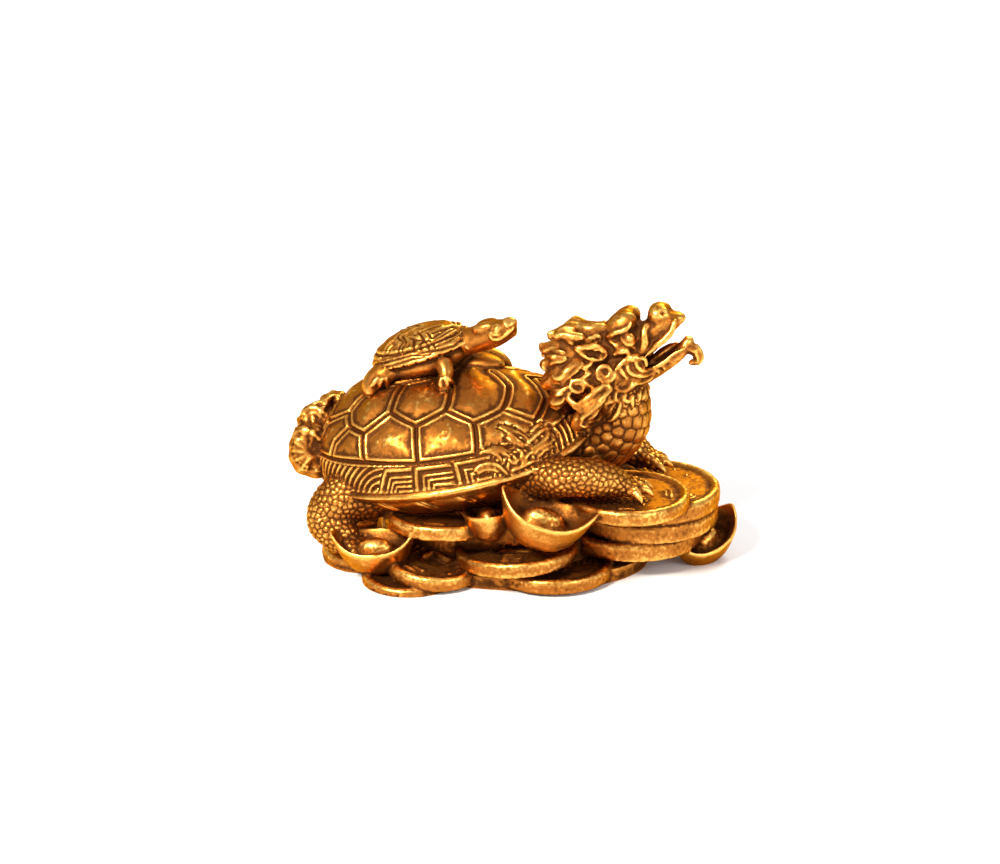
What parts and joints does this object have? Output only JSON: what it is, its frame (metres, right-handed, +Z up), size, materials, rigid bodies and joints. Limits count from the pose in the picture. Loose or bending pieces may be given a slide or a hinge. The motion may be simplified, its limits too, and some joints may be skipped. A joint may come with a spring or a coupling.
{
  "type": "dragon turtle figure",
  "caption": "Small cast ornament: a dragon-headed turtle with a baby turtle on its shell, standing on a heap of square-holed coins and boat-shaped ingots.",
  "frame": {"origin": "on the flat underside, below the middle of the heap", "axes": "+X the way the dragon looks, +Y its left, +Z up"},
  "size_m": [0.096, 0.059, 0.0588],
  "materials": {
    "antique_gold": "cast resin with a metallic antique gold finish, bright on raised edges and rubbed spots, orange brown between and dark brown in the recesses, softly glossy"
  },
  "bodies": {
    "root": {"dragon_turtle": "antique_gold"}
  },
  "joints": []
}
